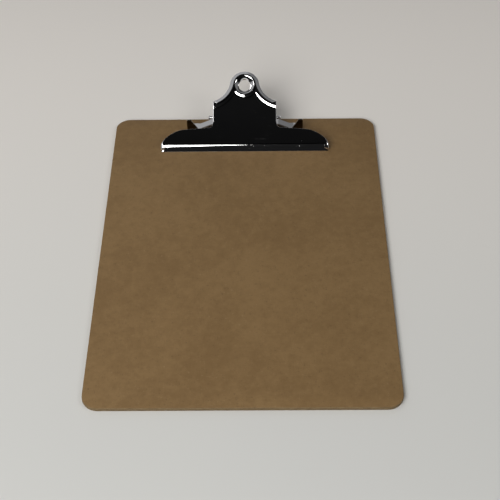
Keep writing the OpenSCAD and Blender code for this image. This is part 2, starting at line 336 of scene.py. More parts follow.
def hardboard_face():
    """Pressed brown fibreboard: cloudy tone, fine fibres lying every way and a few dark specks."""
    f = Finish("hardboard_face")
    cloud = f.noise(0.09, detail=4.0)
    mottle = f.noise(0.006, detail=5.0, rough=0.65)
    fibres = f.noise(0.0011, where=f.place(scale=(1, 0.28, 1), turn=(0, 0, 0.5)), detail=4.0)
    cross_fibres = f.noise(0.001, where=f.place(scale=(0.3, 1, 1), turn=(0, 0, 0.3)), detail=4.0)
    grain = fibres * 0.5 + cross_fibres * 0.5
    tone = f.blend((cloud * 0.5 + mottle * 0.5).above(0.36, 0.64), f.own("board_dark"),
                   f.own("board_light"))
    pale = f.blend(grain.above(0.56, 0.7) * 0.34, tone, (0.36, 0.26, 0.15))
    dark = f.blend(grain.below(0.33, 0.45) * 0.42, pale, (0.09, 0.05, 0.022))
    speck = f.specks(0.021).below(0.018, 0.034) * f.noise(0.05).above(0.52, 0.56)
    spotted = f.blend(speck * 0.8, dark, (0.03, 0.018, 0.01))
    rough = 0.46 + grain * 0.16 + mottle * 0.08
    normal = f.bump(grain * 0.6 + mottle * 0.4, 0.00006, 0.5)
    return f.finish(Base_Color=spotted, Roughness=rough, Normal=normal,
                    Specular_IOR_Level=0.42)


def hardboard_edge():
    """Sawn edge: paler, with the layers of the pressed fibres running along it."""
    f = Finish("hardboard_edge")
    layers = f.noise(0.0009, where=f.place(scale=(0.12, 0.12, 1.6)), detail=4.0)
    fuzz = f.noise(0.0012, detail=5.0)
    tone = f.blend((layers * 0.6 + fuzz * 0.4).above(0.35, 0.65), (0.155, 0.104, 0.053),
                   f.own("board_edge"))
    normal = f.bump(layers * 0.5 + fuzz * 0.5, 0.00015, 0.7)
    return f.finish(Base_Color=tone, Roughness=0.8, Normal=normal, Specular_IOR_Level=0.2)


def chrome_plate(name="chrome_plate", stops=False):
    """Bright chrome on stamped sheet: faint waviness, handling scratches and a few pits."""
    f = Finish(name)
    waves = f.noise(0.021, detail=1.0)
    smudge = f.noise(0.012, detail=4.0)
    scratch = (f.noise(0.0005, where=f.place(scale=(0.025, 1, 1), turn=(0.1, 0.2, 0.55)))
               .above(0.685, 0.73)
               + f.noise(0.0005, where=f.place(scale=(1, 0.03, 1), turn=(0.2, 0.1, -0.4)))
               .above(0.695, 0.74)) * f.noise(0.014).above(0.49, 0.6)
    pits = f.specks(0.0042).below(0.03, 0.055) * f.noise(0.017).above(0.53, 0.6)
    rough = 0.04 + smudge.above(0.5, 0.8) * 0.03 + scratch * 0.2 + pits * 0.25
    tone = f.blend(pits * 0.5, f.own("chrome"), (0.35, 0.34, 0.33))
    # On the paper stops, painted shade stands in for the shaded board reflected there
    if stops:
        tone = painted_stop_shade(f, tone)
    normal = f.bump(scratch * -1, 0.000012, 0.6, under=f.bump(waves, 0.00022, 0.25))
    return f.finish(Base_Color=tone, Metallic=1.0, Roughness=rough, Normal=normal)


def painted_stop_shade(f, tone):
    """Painted shade: darkens and browns the front of the paper stops, standing in for the shaded
    board that they reflect.
    """
    _, y, z = f.split(f.place())
    # Mask of the stops' raised front faces, which get the painted shade
    raised = z.above(0.0052, 0.0068) * y.below(0.1427, 0.1431)
    return f.blend(raised, tone, (0.2, 0.165, 0.13))


def plated_rod():
    """Plated drawn rod: bright, with faint drawing lines along it."""
    f = Finish("plated_rod")
    lines = f.noise(0.0004, where=f.place(scale=(0.03, 1, 1)), detail=2.0)
    wear = f.noise(0.006, detail=4.0)
    rough = 0.14 + lines * 0.12 + wear.above(0.5, 0.7) * 0.18
    tone = f.blend(wear.above(0.55, 0.75) * 0.5, f.own("chrome"), (0.45, 0.43, 0.41))
    return f.finish(Base_Color=tone, Metallic=1.0, Roughness=rough,
                    Normal=f.bump(lines, 0.00002, 0.4))


def spring_steel():
    """Drawn spring wire with a dull plate and darker drawing marks."""
    f = Finish("spring_steel")
    marks = f.noise(0.0006, where=f.place(scale=(1, 0.4, 0.4)), detail=4.0)
    rough = 0.27 + marks * 0.2
    tone = f.blend(marks.above(0.4, 0.7), (0.2, 0.2, 0.21), f.own("spring"))
    return f.finish(Base_Color=tone, Metallic=1.0, Roughness=rough,
                    Normal=f.bump(marks, 0.00002, 0.5))


def rivet_steel():
    """Plated rivet, dulled where the setting tool and the table have rubbed it."""
    f = Finish("rivet_steel")
    rub = f.noise(0.0022, detail=5.0)
    rough = 0.2 + rub.above(0.42, 0.7) * 0.28
    tone = f.blend(rub.above(0.5, 0.75) * 0.6, f.own("rivet"), (0.38, 0.36, 0.34))
    return f.finish(Base_Color=tone, Metallic=1.0, Roughness=rough,
                    Normal=f.bump(rub, 0.00003, 0.4))


def pale_floor():
    """Pale smooth floor, a little cloudy, with painted light: its colour grows paler and warmer
    towards the far side, standing in for the brighter light there.
    """
    f = Finish("pale_floor")
    cloud = f.noise(0.35, detail=3.0)
    _, up, _ = f.split(f.place())
    near = f.blend(cloud.above(0.3, 0.7) * 0.25, f.own("floor"), (0.66, 0.665, 0.67))
    # Painted light: blends towards the paler far colour further up the floor
    tone = f.blend(up.above(-0.25, 0.32), near, f.own("far_floor_painted_light"))
    return f.finish(Base_Color=tone, Roughness=0.62, Specular_IOR_Level=0.3)


# Mesh helpers


def ease(x):
    """Smooth step from 0 to 1."""
    x = min(max(x, 0.0), 1.0)
    return x * x * (3 - 2 * x)


def spaced(start, end, steps):
    """Evenly spaced numbers from start to end, both ends counted."""
    return [start + (end - start) * i / steps for i in range(steps + 1)]


def polar(centre, radius, degrees):
    """The point at that distance and bearing from a centre."""
    a = math.radians(degrees)
    return Vector(centre) + radius * Vector((math.cos(a), math.sin(a)))


def curve_points(points, steps):
    """Points along a cubic Bezier curve through its first and last control points."""
    a, b, c, d = (Vector(p) for p in points)
    return [a * (1 - t) ** 3 + b * 3 * t * (1 - t) ** 2 + c * 3 * t * t * (1 - t) + d * t ** 3
            for t in spaced(0, 1, steps)]


def line_points(start, end, steps):
    start, end = Vector(start), Vector(end)
    return [start.lerp(end, t) for t in spaced(0, 1, steps)]


def arc_points(centre, radius, start, end, steps):
    return [polar(centre, radius, a) for a in spaced(start, end, steps)]


def loft(bm, columns, rows, place):
    """Adds a grid of faces and puts each of its points where place(column, row) says."""
    made = bmesh.ops.create_grid(bm, x_segments=columns - 1, y_segments=rows - 1, size=1.0)
    for vert in made["verts"]:
        column = round((vert.co.x + 1) / 2 * (columns - 1))
        row = round((vert.co.y + 1) / 2 * (rows - 1))
        vert.co = place(column, row)
    return made["verts"]


def weld(bm, distance=MERGE):
    bmesh.ops.remove_doubles(bm, verts=bm.verts[:], dist=distance)
    bmesh.ops.dissolve_degenerate(bm, edges=bm.edges[:], dist=distance)


def mirror_across(bm):
    """Adds the left half of a shape whose right half touches the middle, and joins them."""
    bmesh.ops.mirror(bm, geom=bm.verts[:] + bm.edges[:] + bm.faces[:], matrix=Matrix.Identity(4),
                     merge_dist=MERGE, axis="X")
    weld(bm)


def drill(bm, centre, axis, radius, room, steps=32):
    """Cuts a round hole through the flat skins of a sheet, and gives it a wall.

    Faces that come within room of the hole's centre are filled anew round it.
    """
    centre, axis = Vector(centre), Vector(axis).normalized()
    skins = {}
    for face in bm.faces:
        if abs(face.normal.dot(axis)) < 0.999:
            continue
        away = [((v.co - centre) - (v.co - centre).dot(axis) * axis).length for v in face.verts]
        hit = bmesh.geometry.intersect_face_point(face, centre + axis * (
            face.verts[0].co - centre).dot(axis)) if len(face.verts) > 4 else False
        depth = round((face.verts[0].co - centre).dot(axis), 5)
        if (min(away) < room or hit) and abs(depth) < room * 3:
            skins.setdefault(depth, []).append(face)
    rings = []
    turn = axis.to_track_quat("Z", "Y").to_matrix().to_4x4()
    for depth, faces in sorted(skins.items()):
        edges = {e for f in faces for e in f.edges}
        bmesh.ops.delete(bm, geom=faces, context="FACES_ONLY")
        inner = [e for e in edges if e.is_valid and not e.link_faces]
        rim = [e for e in edges if e.is_valid and e.link_faces]
        bmesh.ops.delete(bm, geom=inner, context="EDGES")
        loose = [v for v in bm.verts if not v.link_edges]
        bmesh.ops.delete(bm, geom=loose, context="VERTS")
        where = Matrix.Translation(centre + axis * depth) @ turn
        made = bmesh.ops.create_circle(bm, segments=steps, radius=radius, matrix=where)
        ring = list({e for v in made["verts"] for e in v.link_edges})
        bmesh.ops.triangle_fill(bm, edges=rim + ring, use_dissolve=False, use_beauty=True,
                                normal=axis)
        rings += ring
    bmesh.ops.bridge_loops(bm, edges=rings)


def turned(bm, profile, steps=48):
    """Spins a profile of (along, radius) points about the X axis, and closes its ends."""
    line = [bm.verts.new((along, 0, radius)) for along, radius in profile]
    edges = [bm.edges.new(pair) for pair in zip(line, line[1:])]
    bmesh.ops.spin(bm, geom=line + edges, cent=(0, 0, 0), axis=(1, 0, 0), angle=math.tau,
                   steps=steps, use_merge=True, use_normal_flip=False)
    weld(bm)
    return bm.verts[:]


def tube(bm, path, radius, sides=14):
    """A round wire along a path that never runs along X, with its ends rounded over."""
    runs = [(b - a).normalized() for a, b in zip(path, path[1:])]
    runs = [runs[0]] + [(a + b).normalized() for a, b in zip(runs, runs[1:])] + [runs[-1]]
    rings = list(zip(path, runs, [radius] * len(path)))
    first, last = rings[0], rings[-1]
    for reach, size in ((0.25, 0.96), (0.45, 0.8), (0.55, 0.55), (0.6, 0)):
        rings.insert(0, (first[0] - first[1] * radius * reach, first[1], radius * size))
        rings.append((last[0] + last[1] * radius * reach, last[1], radius * size))

    def place(column, row):
        centre, run, size = rings[row]
        side = run.cross(Vector((1, 0, 0))).normalized()
        a = math.tau * column / sides
        return centre + size * (math.cos(a) * side.cross(run) + math.sin(a) * side)

    loft(bm, sides + 1, len(rings), place)
    weld(bm)


def close(bm):
    """Joins doubled points and turns every face outwards."""
    weld(bm)
    bmesh.ops.recalc_face_normals(bm, faces=bm.faces[:])


def hand_over(bm, name, finishes, body, slot, *nodes, sharp=40):
    """Turns a bmesh into a finished piece that rides on a body and stands for CAD nodes."""
    mesh = bpy.data.meshes.new(name)
    for edge in bm.edges:
        if len(edge.link_faces) == 2:
            edge.smooth = edge.calc_face_angle(0.0) < math.radians(sharp)
    for face in bm.faces:
        face.smooth = True
    bm.to_mesh(mesh)
    bm.free()
    piece = bpy.data.objects.new(name, mesh)
    bpy.context.scene.collection.objects.link(piece)
    for finish in finishes:
        mesh.materials.append(finish)
    if body:
        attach(piece, body)
    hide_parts(*nodes)
    return piece


# The lever's outline and cross-sections

# Widths of the edge's border: round the jaw and wings, round the handle, and beside the funnel
BORDER, FLANK_BORDER, FUNNEL_EDGE = 0.0078, 0.0082, 0.0066
# The pressed ridge, measured in from the edge: its crest, and where its inner slope starts and ends
CREST, RAMP, RAMP_END = 0.0034, 0.0043, 0.0076
RING_FLANK = 0.0034     # width of the slope outside the ridge round the hole
RIM_ROUND = 0.00012     # rounding of the cut edge of the sheet
EAR_TOP, EAR_FOOT = 0.0365, 0.0185      # up the slope, where the ears start to hang down
SIDE_TURN, SIDE_ROLL, SIDE_DROP = math.radians(75), 0.0018, 0.0026  # the jaw's rolled sides
SIDE_FADE = 0.0105      # length over which that roll fades into the plain edge of the wing
EAR_BEND, CUT_BEND = 0.001, 0.00015     # radii of the folded ears and of a plain cut edge
WING_PULL, SIDE_PULL = Vector((0.008, -0.0008)), Vector((0, 0.0056))    # bow of the wing's curve
SIDE_TOP = -0.002       # up the slope, where that curve meets the jaw's straight side
FUNNEL_DEPTH, FUNNEL_CURVE = 0.0017, 1.3
SOFT_JOIN = 0.00008     # softness of the line where the two ridges run together
# Steps along the outline and rows across its border and the field inside
ARCH_STEPS, FLANK_STEPS, SHOULDER_STEPS, NECK_STEPS = 36, 46, 12, 44
FILLET_STEPS, WING_STEPS, CURVE_STEPS, SIDE_STEPS, CORNER_STEPS, JAW_STEPS = 14, 12, 40, 6, 16, 16
FLANK_ROWS, BEND_ROWS, SKIRT_ROWS, FIELD_ROWS = 9, 12, 10, 24


class Station:
    """A point on the lever's outline: where it is, which way is out, and how its edge is made."""

    def __init__(self, point, out, kinds, depth=0.0, width=BORDER):
        self.point = Vector(point)
        self.out = Vector(out).normalized()
        self.kinds = kinds
        self.depth = depth
        self.width = width
        self.inner = self.point - self.out * width

    def lead_to(self, inner, square=False):
        """Ends the border at that point, measuring it square to the outline if asked."""
        self.inner = inner.copy()
        if square:
            self.width = (self.point - inner).dot(self.out)


class LeverPlan:
    """The lever's right half in its own plane, as stations from the tip round to the jaw."""

    def __init__(self, sizes):
        self.s = sizes
        s = sizes
        self.hole = Vector((0, s.hole_place))
        rise = math.sqrt((s.tip + s.flank) ** 2 - s.flank_across ** 2)
        self.flank_centre = Vector((s.flank_across, s.hole_place + rise))
        self.join = math.degrees(math.atan2(rise, s.flank_across))
        self.slope = s.slope
        self.lip_turn = s.lip_slope - s.slope
        self.jaw_drop = (s.jaw_radius * (1 - math.cos(self.lip_turn))
                         + s.lip * math.sin(self.lip_turn))
        self.jaw_front = -(s.jaw_radius * math.sin(self.lip_turn)
                           + s.lip * math.cos(self.lip_turn))
        jaw = Vector((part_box("clip_lever")[0].y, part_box("board")[1].z + s.jaw_gap))
        roll_end = jaw + s.lip * Vector((math.cos(s.lip_slope), math.sin(s.lip_slope)))
        centre = roll_end + s.jaw_radius * Vector((math.sin(s.lip_slope),
                                                   -math.cos(s.lip_slope)))
        crease = centre + s.jaw_radius * Vector((-math.sin(s.slope), math.cos(s.slope)))
        self.to_frame = (Matrix.Translation((0, crease.x, crease.y))
                         @ Matrix.Rotation(s.slope, 4, "X"))
        pin = self.to_frame.inverted() @ PIN
        self.pin = Vector((pin.y, pin.z))
        self.stations = []
        self.draw()

    def ear_depth(self, up):
        """How far the ear hangs below the flat at that place up the slope."""
        s = self.s
        deepest = s.sheet
        for foot, side in ((EAR_TOP, -1), (EAR_FOOT, 1)):
            start = Vector((foot, -s.sheet / 2))
            away = start - self.pin
            turn = (math.atan2(away.y, away.x) + side * math.acos(s.ear / away.length))
            touch = self.pin + s.ear * Vector((math.cos(turn), math.sin(turn)))
            share = (up - start.x) / (touch.x - start.x)
            if 0 <= share <= 1:
                deepest = max(deepest, -(start.y + (touch.y - start.y) * share))
        reach = s.ear ** 2 - (up - self.pin.x) ** 2
        if reach > 0:
            deepest = max(deepest, -self.pin.y + math.sqrt(reach))
        return deepest

    def border_width(self, point, out):
        """Width of the border on the handle: it stops short of the funnel's edge."""
        away = point - self.hole
        along = away.dot(out)
        room = along ** 2 - away.length_squared + FUNNEL_EDGE ** 2
        return min(FLANK_BORDER, along - math.sqrt(room)) if room > 0 else FLANK_BORDER

    def add(self, point, out, kinds, depth=0.0, width=BORDER):
        self.stations.append(Station(point, out, kinds, depth, width))

    def draw(self):
        self.draw_handle()
        self.draw_neck()
        self.handle_columns = len(self.stations)
        self.draw_wing()

    def draw_handle(self):
        s = self.s
        self.handle_arc(self.hole, s.tip, spaced(90, self.join, ARCH_STEPS), 1)
        shoulder_x = s.neck - s.shoulder
        drop = math.sqrt((s.flank + s.shoulder) ** 2 - (s.flank_across - shoulder_x) ** 2)
        self.shoulder = Vector((shoulder_x, self.flank_centre.y - drop))
        self.turn = math.degrees(math.atan2(drop, s.flank_across - shoulder_x))
        self.handle_arc(self.flank_centre, s.flank,
                        spaced(180 + self.join, 180 + self.turn, FLANK_STEPS)[1:], -1)

    def handle_arc(self, centre, radius, angles, side):
        """Stations round a part of the handle; side is -1 where the arc is hollow."""
        for a in angles:
            point = polar(centre, radius, a)
            out = (point - centre).normalized() * side
            self.add(point, out, {"handle": 1}, width=self.border_width(point, out))

    def draw_neck(self):
        s = self.s
        for a in spaced(self.turn, 0, SHOULDER_STEPS)[1:]:
            point = polar(self.shoulder, s.shoulder, a)
            share = ease(1 - a / self.turn)
            self.add(point, point - self.shoulder, {"handle": 1 - share, "ear": share},
                     s.flange, FLANK_BORDER)
        for up in spaced(self.shoulder.y, s.neck_foot, NECK_STEPS)[1:]:
            share = ease((up - s.neck_foot) / 0.0022)
            depth = max(self.ear_depth(up), s.flange * ease((up - 0.028) / 0.002))
            width = BORDER + (FLANK_BORDER - BORDER) * ease((up - 0.020) / 0.006)
            self.add((s.neck, up), (1, 0), {"ear": share, "plain": 1 - share}, depth, width)
        line = s.neck - FLANK_BORDER
        drop = math.sqrt((s.flank + FLANK_BORDER) ** 2 - (s.flank_across - line) ** 2)
        corner = Vector((line, self.flank_centre.y - drop))
        for station in self.stations[ARCH_STEPS + 1:]:
            if station.inner.x > line - MERGE and station.inner.y > corner.y - 1e-4:
                station.lead_to(corner, square=True)
            elif station.point.x < s.neck - MERGE and station.inner.x > line:
                station.lead_to(corner, square=True)

    def draw_wing(self):
        s = self.s
        fillet = Vector((s.neck + s.fillet, s.neck_foot))
        top = Vector((s.wing_across, s.wing_up))
        for a in spaced(180, 265, FILLET_STEPS)[1:]:
            point = polar(fillet, s.fillet, a)
            self.add(point, fillet - point, {"plain": 1})
        start = self.stations[-1].point
        run = top - start
        for share in spaced(0, 1, WING_STEPS)[1:]:
            self.add(start.lerp(top, share), (-run.y, run.x), {"plain": 1})
        corner = Vector((s.jaw - s.jaw_corner, self.jaw_front + s.jaw_corner))
        side = Vector((s.jaw, SIDE_TOP))
        path = curve_points((top, top + WING_PULL, side + SIDE_PULL, side), CURVE_STEPS)
        path += line_points(side, (s.jaw, corner.y), SIDE_STEPS)[1:]
        for before, point, after in zip(path, path[1:], path[2:] + path[-1:]):
            run = after - before
            share = self.rolled_share(point) * (1 - ease((point - path[-1]).length / SIDE_FADE))
            self.add(point, (-run.y, run.x), {"side": share, "plain": 1 - share})
        for a in spaced(0, -90, CORNER_STEPS)[1:]:
            point = polar(corner, s.jaw_corner, a)
            roll = ease(-a / 90)
            share = (1 - roll) * self.rolled_share(point)
            self.add(point, point - corner, {"jaw": roll, "side": share,
                                             "plain": 1 - roll - share})
        for x in spaced(corner.x, 0, JAW_STEPS)[1:]:
            self.add((x, self.jaw_front), (0, -1), {"jaw": 1})
        line = self.jaw_front + BORDER
        wing = self.stations[self.handle_columns:]
        last = [w for w in wing if w.out.x > 0.5 and w.inner.y > line][-1]
        meet = Vector((last.inner.x, line))
        for station in wing[wing.index(last):]:
            if station.inner.x > meet.x - MERGE or station.point.y > self.jaw_front + MERGE / 2:
                station.lead_to(meet)

    def front_drop(self, flat):
        """How far the jaw's roll has fallen below the flat at that place."""
        s = self.s
        ahead = flat.y - self.jaw_front
        if ahead < s.lip * math.cos(self.lip_turn):
            return self.jaw_drop - max(ahead, 0) * math.tan(self.lip_turn)
        return s.jaw_radius - math.sqrt(s.jaw_radius ** 2 - min(flat.y, 0) ** 2)

    def rolled_share(self, point):
        """How much of its own roll the side still needs where the jaw's roll has begun."""
        return 1 - self.front_drop(point) / self.jaw_drop

    # Cross-sections: lists of (distance in from the outline, height above the flat)

    def rim_points(self, outer, inner, run):
        """Round edge of the sheet, from the end of its outer face to its inner face."""
        outer, inner = Vector(outer), Vector(inner)
        across = (inner - outer).normalized() * RIM_ROUND
        down = Vector(run) * RIM_ROUND
        return [outer - down, outer + (across - down) * 0.29, outer + across,
                inner - across, inner - (across + down) * 0.29, inner - down]

    def rolled(self, width, radius, turn, drop, cut):
        """An edge rolled down to a straight lip that ends that far below the flat."""
        t = self.s.sheet
        run = Vector((-math.cos(turn), -math.sin(turn)))
        lip = (drop - radius * (1 - math.cos(turn))) / math.sin(turn)
        out = radius * math.sin(turn) + lip * math.cos(turn)
        last = 90 + math.degrees(turn)
        foot = Vector((0, -drop))
        bend = arc_points((out, -radius), radius, 90, last, BEND_ROWS)
        return (line_points((width, 0), (out, 0), FLANK_ROWS), bend,
                line_points(bend[-1], foot - run * RIM_ROUND, SKIRT_ROWS),
                self.rim_points(foot, foot + cut, run),
                arc_points((out, -radius), radius - t, last, 90, BEND_ROWS),
                line_points((out, -t), (width, -t), FLANK_ROWS))

    def section(self, kind, depth, width):
        """From the border's inner end along the outer face, round the edge and back inside."""
        s = self.s
        t = s.sheet
        if kind == "handle":
            low = -s.flange
            flank = line_points((width, 0), (CREST, 0), FLANK_ROWS)
            bend = (curve_points(((CREST, s.ridge), (0.00305, s.ridge), (0.00305, s.ridge),
                                  (0.00275, 0.00045)), 4)
                    + line_points((0.00275, 0.00045), (0.00055, -0.00142), 3)[1:]
                    + curve_points(((0.00055, -0.00142), (0.0001, -0.0018), (0, -0.0019),
                                    (0, -0.00205)), 5)[1:])
            skirt = line_points(bend[-1], (0, low + RIM_ROUND), SKIRT_ROWS)
            rim = self.rim_points((0, low), (t, low), (0, -1))
            back_bend = (curve_points(((t, -0.00235), (t, -0.0022), (t, -0.0022),
                                       (0.0013, -0.0021)), 4)
                         + line_points((0.0013, -0.0021), (0.0033, -0.0004), 4)[1:]
                         + curve_points(((0.0033, -0.0004), (0.0034, s.ridge - t),
                                         (0.0034, s.ridge - t), (0.0039, s.ridge - t)), 4)[1:])
            back = line_points((0.0039, -t), (width, -t), FLANK_ROWS)
        elif kind == "jaw":
            level = Vector((math.cos(s.slope), -math.sin(s.slope))) * t / math.sin(s.lip_slope)
            flank, bend, skirt, rim, back_bend, back = self.rolled(
                width, s.jaw_radius, self.lip_turn, self.jaw_drop, level)
        elif kind == "side":
            flank, bend, skirt, rim, back_bend, back = self.rolled(
                width, SIDE_ROLL, SIDE_TURN, SIDE_DROP, Vector((t / math.sin(SIDE_TURN), 0)))
        else:
            bend_radius = EAR_BEND if kind == "ear" else CUT_BEND
            depth = max(depth, t) if kind == "ear" else t
            turn_in = max(bend_radius, t + 0.0003)
            flank = line_points((width, 0), (bend_radius, 0), FLANK_ROWS)
            bend = [polar((bend_radius, -bend_radius), bend_radius, a)
                    for a in spaced(90, 180, BEND_ROWS)]
            edge = min(-bend_radius, -depth + RIM_ROUND)
            skirt = line_points(bend[-1], (0, edge), SKIRT_ROWS)
            rim = self.rim_points((0, -depth), (t, -depth), (0, -1))
            start = min(-t, -depth + RIM_ROUND, max(-turn_in, -depth))
            back_bend = curve_points(((t, start), (t, -t), (t, -t), (turn_in, -t)), BEND_ROWS)
            back = line_points((turn_in, -t), (width, -t), FLANK_ROWS)
        inner_skirt = line_points(rim[-1], back_bend[0], SKIRT_ROWS)
        return flank + bend[1:] + skirt[1:] + rim + inner_skirt[1:] + back_bend[1:] + back[1:]

    def border(self, station):
        """The cross-section at a station: a mix of the kinds that its edge is made as.

        Heights on the jaw are measured from its rolled surface, as they are beside it.
        """
        total = None
        for kind, share in station.kinds.items():
            if share <= 0:
                continue
            section = self.section(kind, station.depth, station.width)
            if kind == "jaw":
                section = [p + Vector((0, self.front_drop(Vector((0, self.jaw_front + p.x)))))
                           for p in section]
            points = [p * share for p in section]
            total = points if total is None else [a + b for a, b in zip(total, points)]
        return total

    def pressed(self, flat):
        """Height of the pressed relief there: the ridge by the edge, and the hole's funnel."""
        s = self.s
        away = (flat - self.hole).length
        if away < s.rim:
            share = (s.rim - away) / (s.rim - s.hole)
            return s.ridge - (s.ridge + FUNNEL_DEPTH) * share ** FUNNEL_CURVE
        bearing = math.degrees(math.atan2(flat.y - self.hole.y, flat.x))
        inside = (s.tip - away if bearing > self.join
                  else (flat - self.flank_centre).length - s.flank)
        edge = s.ridge * ease((RAMP_END - inside) / (RAMP_END - RAMP))
        ring = s.ridge * (1 - ease((away - s.rim) / RING_FLANK))
        both = math.hypot(edge - ring, SOFT_JOIN)
        return (edge + ring + both - SOFT_JOIN) / 2

    def border_height(self, station, flat, row, rows, height):
        """Lifts a border point by the relief, less so the further down a folded edge it is."""
        field = row <= FLANK_ROWS or row >= rows - 1 - FLANK_ROWS
        share = station.kinds.get("handle", 0)
        fold = ease((height + 0.0025) / 0.0014)
        return height + self.pressed(flat) * (share * field + (1 - share) * fold)

    def in_frame(self, flat, height):
        return self.to_frame @ Vector((flat.x, flat.y, height))


def lever_border(bm, plan):
    """The lever's whole edge: flange, ears, plain wing edges, and jaw with its rolled sides."""
    sections = [plan.border(station) for station in plan.stations]
    rows = len(sections[0])

    def place(column, row):
        station = plan.stations[column]
        inset, height = sections[column][row]
        flat = station.point.lerp(station.inner, inset / station.width)
        if column < plan.handle_columns:
            height = plan.border_height(station, flat, row, rows, height)
        else:
            height -= plan.front_drop(flat)
        return plan.in_frame(flat, height)

    loft(bm, len(plan.stations), rows, place)


def handle_targets(plan):
    """Where each border column of the handle leads: round the hole, then down the middle."""
    s = plan.s
    targets = [polar(plan.hole, s.hole, a) for a in spaced(90, plan.join, ARCH_STEPS)]
    round_hole = int(FLANK_STEPS * 0.62)
    targets += [polar(plan.hole, s.hole, a) for a in spaced(plan.join, -90, round_hole)[1:]]
    low = plan.hole.y - s.hole
    turn = EAR_TOP + 0.002
    shares = ((FLANK_STEPS - round_hole, low, turn), (SHOULDER_STEPS, turn, EAR_TOP),
              (NECK_STEPS, EAR_TOP, s.neck_foot))
    for count, start, end in shares:
        targets += [Vector((0, up)) for up in spaced(start, end, count)[1:]]
    return targets


def lever_handle(bm, plan):
    """The handle's field inside its border, with the ridge and the funnel round the hole."""
    targets = handle_targets(plan)
    for depth in (0, plan.s.sheet):
        def place(column, row):
            share = (row / FIELD_ROWS) ** 1.5
            flat = targets[column].lerp(plan.stations[column].inner, share)
            return plan.in_frame(flat, plan.pressed(flat) - depth)
        loft(bm, plan.handle_columns, FIELD_ROWS + 1, place)


def lever_hole_wall(bm, plan):
    """Joins the two skins round the hang hole."""
    centre = plan.in_frame(plan.hole, 0)
    axis = plan.to_frame.to_3x3() @ Vector((0, 0, 1))
    ring = []
    for edge in bm.edges:
        if len(edge.link_faces) != 1:
            continue
        gaps = [((v.co - centre) - (v.co - centre).dot(axis) * axis).length for v in edge.verts]
        if all(abs(gap - plan.s.hole) < 10 * MERGE for gap in gaps):
            ring.append(edge)
    bmesh.ops.bridge_loops(bm, edges=ring)


# Operators


class OBJECT_OT_clipboard_board(bpy.types.Operator):
    """Build the hardboard panel with its sunk rivet seats"""

    bl_idname = "clipboard.board"
    bl_label = "Board"

    def execute(self, context):
        s = context.scene.clipboard_board
        base = context.scene.clipboard_base
        low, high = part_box("board")
        bm = bmesh.new()
        bmesh.ops.create_grid(bm, x_segments=1, y_segments=1, size=1.0)
        bmesh.ops.scale(bm, vec=(high.x, high.y, 1), verts=bm.verts)
        bmesh.ops.translate(bm, vec=(0, 0, low.z), verts=bm.verts)
        bmesh.ops.bevel(bm, geom=bm.verts[:], offset=s.corner, offset_type="OFFSET", segments=24,
                        profile=0.5, affect="VERTICES", material=-1)
        body = bmesh.ops.extrude_face_region(bm, geom=bm.faces[:])
        lifted = [v for v in body["geom"] if isinstance(v, bmesh.types.BMVert)]
        bmesh.ops.translate(bm, vec=(0, 0, high.z - low.z), verts=lifted)
        bmesh.ops.recalc_face_normals(bm, faces=bm.faces[:])
        sides = [f for f in bm.faces if abs(f.normal.z) < 0.5]
        for face in sides:
            face.material_index = 1
        rims = [e for e in bm.edges if abs(e.verts[0].co.z - e.verts[1].co.z) < MERGE
                and e.calc_face_angle(0.0) > 1]
        bmesh.ops.bevel(bm, geom=rims, offset=s.edge, segments=3, profile=0.5, affect="EDGES",
                        material=-1)
        for side in (-1, 1):
            self.seat(bm, side * base.rivet_across, base, s, low.z, high.z)
        close(bm)
        hand_over(bm, "board_panel", [hardboard_face(), hardboard_edge()], BOARD_BODY,
                  "hardboard", "board")
        return {"FINISHED"}

    def seat(self, bm, across, base, s, low, high):
        """Sinks a seat into the back and drills on through to the front."""
        shank = base.rivet + base.rivet_fit
        loops = []
        for level, radius in ((low, s.seat), (high, shank)):
            skin = [f for f in bm.faces if abs(f.normal.z) > 0.99
                    and abs(f.verts[0].co.z - level) < MERGE]
            rim = [e for f in skin for e in f.edges if sum(g in skin for g in e.link_faces) == 1]
            bmesh.ops.delete(bm, geom=skin, context="FACES_ONLY")
            spare = [e for e in bm.edges if not e.link_faces and e not in rim]
            bmesh.ops.delete(bm, geom=spare, context="EDGES")
            ring = self.ring(bm, across, base.rivet_up, level, radius)
            fill = bmesh.ops.triangle_fill(bm, edges=list(set(rim)) + ring, use_beauty=True,
                                           use_dissolve=False, normal=(0, 0, 1))
            for new in fill["geom"]:
                if isinstance(new, bmesh.types.BMFace):
                    new.material_index = 0
            loops.append(ring)
        wide, narrow = (self.ring(bm, across, base.rivet_up, low + s.seat_depth, radius)
                        for radius in (s.seat, shank))
        for first, second in ((loops[0], wide), (wide, narrow), (narrow, loops[1])):
            bmesh.ops.bridge_loops(bm, edges=first + second)

    @staticmethod
    def ring(bm, x, y, z, radius):
        """The edges of a new level circle."""
        made = bmesh.ops.create_circle(bm, segments=40, radius=radius,
                                       matrix=Matrix.Translation((x, y, z)))
        return list({e for v in made["verts"] for e in v.link_edges})


class OBJECT_OT_clipboard_lever(bpy.types.Operator):
    """Build the stamped chrome lever: jaw, wings, neck with its ears, and handle"""

    bl_idname = "clipboard.lever"
    bl_label = "Clip lever"

    def execute(self, context):
        sizes = context.scene.clipboard_lever
        hinge = context.scene.clipboard_hinge
        plan = LeverPlan(sizes)
        bm = bmesh.new()
        lever_border(bm, plan)
        lever_handle(bm, plan)
        weld(bm)
        mirror_across(bm)
        lever_hole_wall(bm, plan)
        bmesh.ops.holes_fill(bm, edges=[e for e in bm.edges if len(e.link_faces) == 1], sides=0)
        close(bm)
        for side in (-1, 1):
            middle = Vector((side * (sizes.neck - sizes.sheet / 2), PIN.y, PIN.z))
            drill(bm, middle, (1, 0, 0), hinge.pin + hinge.fit, room=0.0024)
        close(bm)
        hand_over(bm, "clip_lever_shell", [chrome_plate()], LEVER_BODY, "chrome_plate",
                  "clip_lever")
        return {"FINISHED"}


